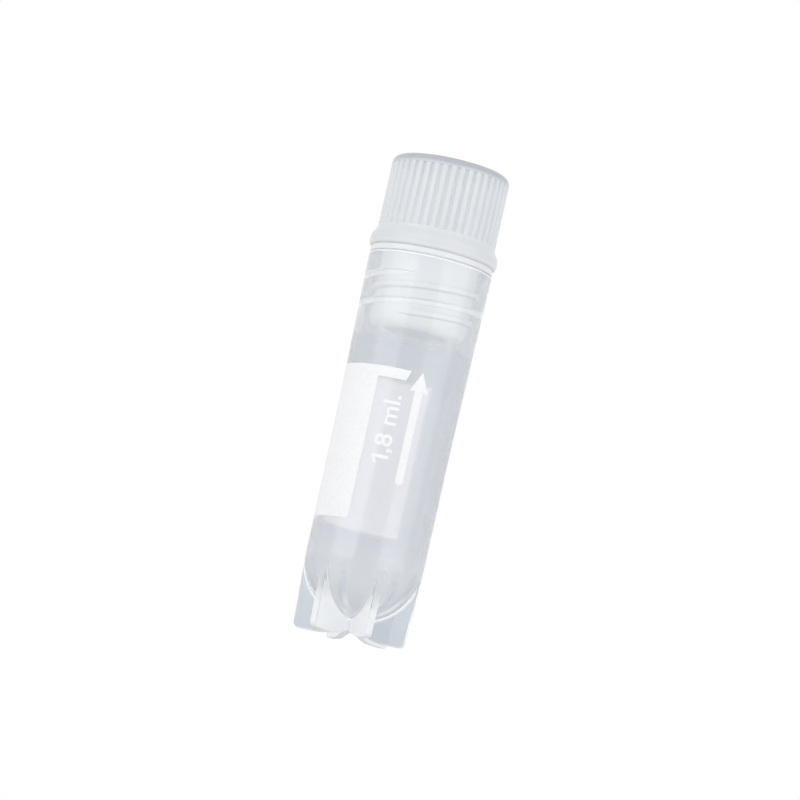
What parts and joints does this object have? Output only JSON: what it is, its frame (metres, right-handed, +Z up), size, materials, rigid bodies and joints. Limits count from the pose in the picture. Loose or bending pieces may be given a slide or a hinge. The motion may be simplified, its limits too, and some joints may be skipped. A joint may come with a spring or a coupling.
{
  "type": "cryovial",
  "caption": "Self-standing cryogenic storage vial: a round-bottomed translucent tube on a star foot, closed by a grooved screw cap with a hollow threaded plug and a sealing ring.",
  "frame": {"origin": "on the vial's axis, at the level its feet stand on", "axes": "+Z up along the axis from the feet to the cap; -Y is the side that carries the printed capacity and the arrow"},
  "size_m": [0.013, 0.013, 0.0483],
  "materials": {
    "natural_polypropylene": "moulded, translucent, satin gloss",
    "cap_polypropylene": "moulded, milky, satin",
    "silicone": "soft, translucent, matt"
  },
  "bodies": {
    "tube_body": {"tube": "natural_polypropylene"},
    "ring_body": {"gasket": "silicone"},
    "cap_body": {"cap": "cap_polypropylene"}
  },
  "joints": [
    {"name": "cap_lift", "type": "slide", "parent": "tube_body", "child": "ring_body", "axis": [0, 0, 1], "range_m": [0, 0.0084]},
    {"name": "cap_turn", "type": "hinge", "parent": "ring_body", "child": "cap_body", "pos_m": [0, 0, 0.0435], "axis": [0, 0, 1], "range_deg": [0, 1080]}
  ],
  "couplings": [
    {"joint": "cap_turn", "follows": "cap_lift", "rad_per_m": 2244}
  ]
}
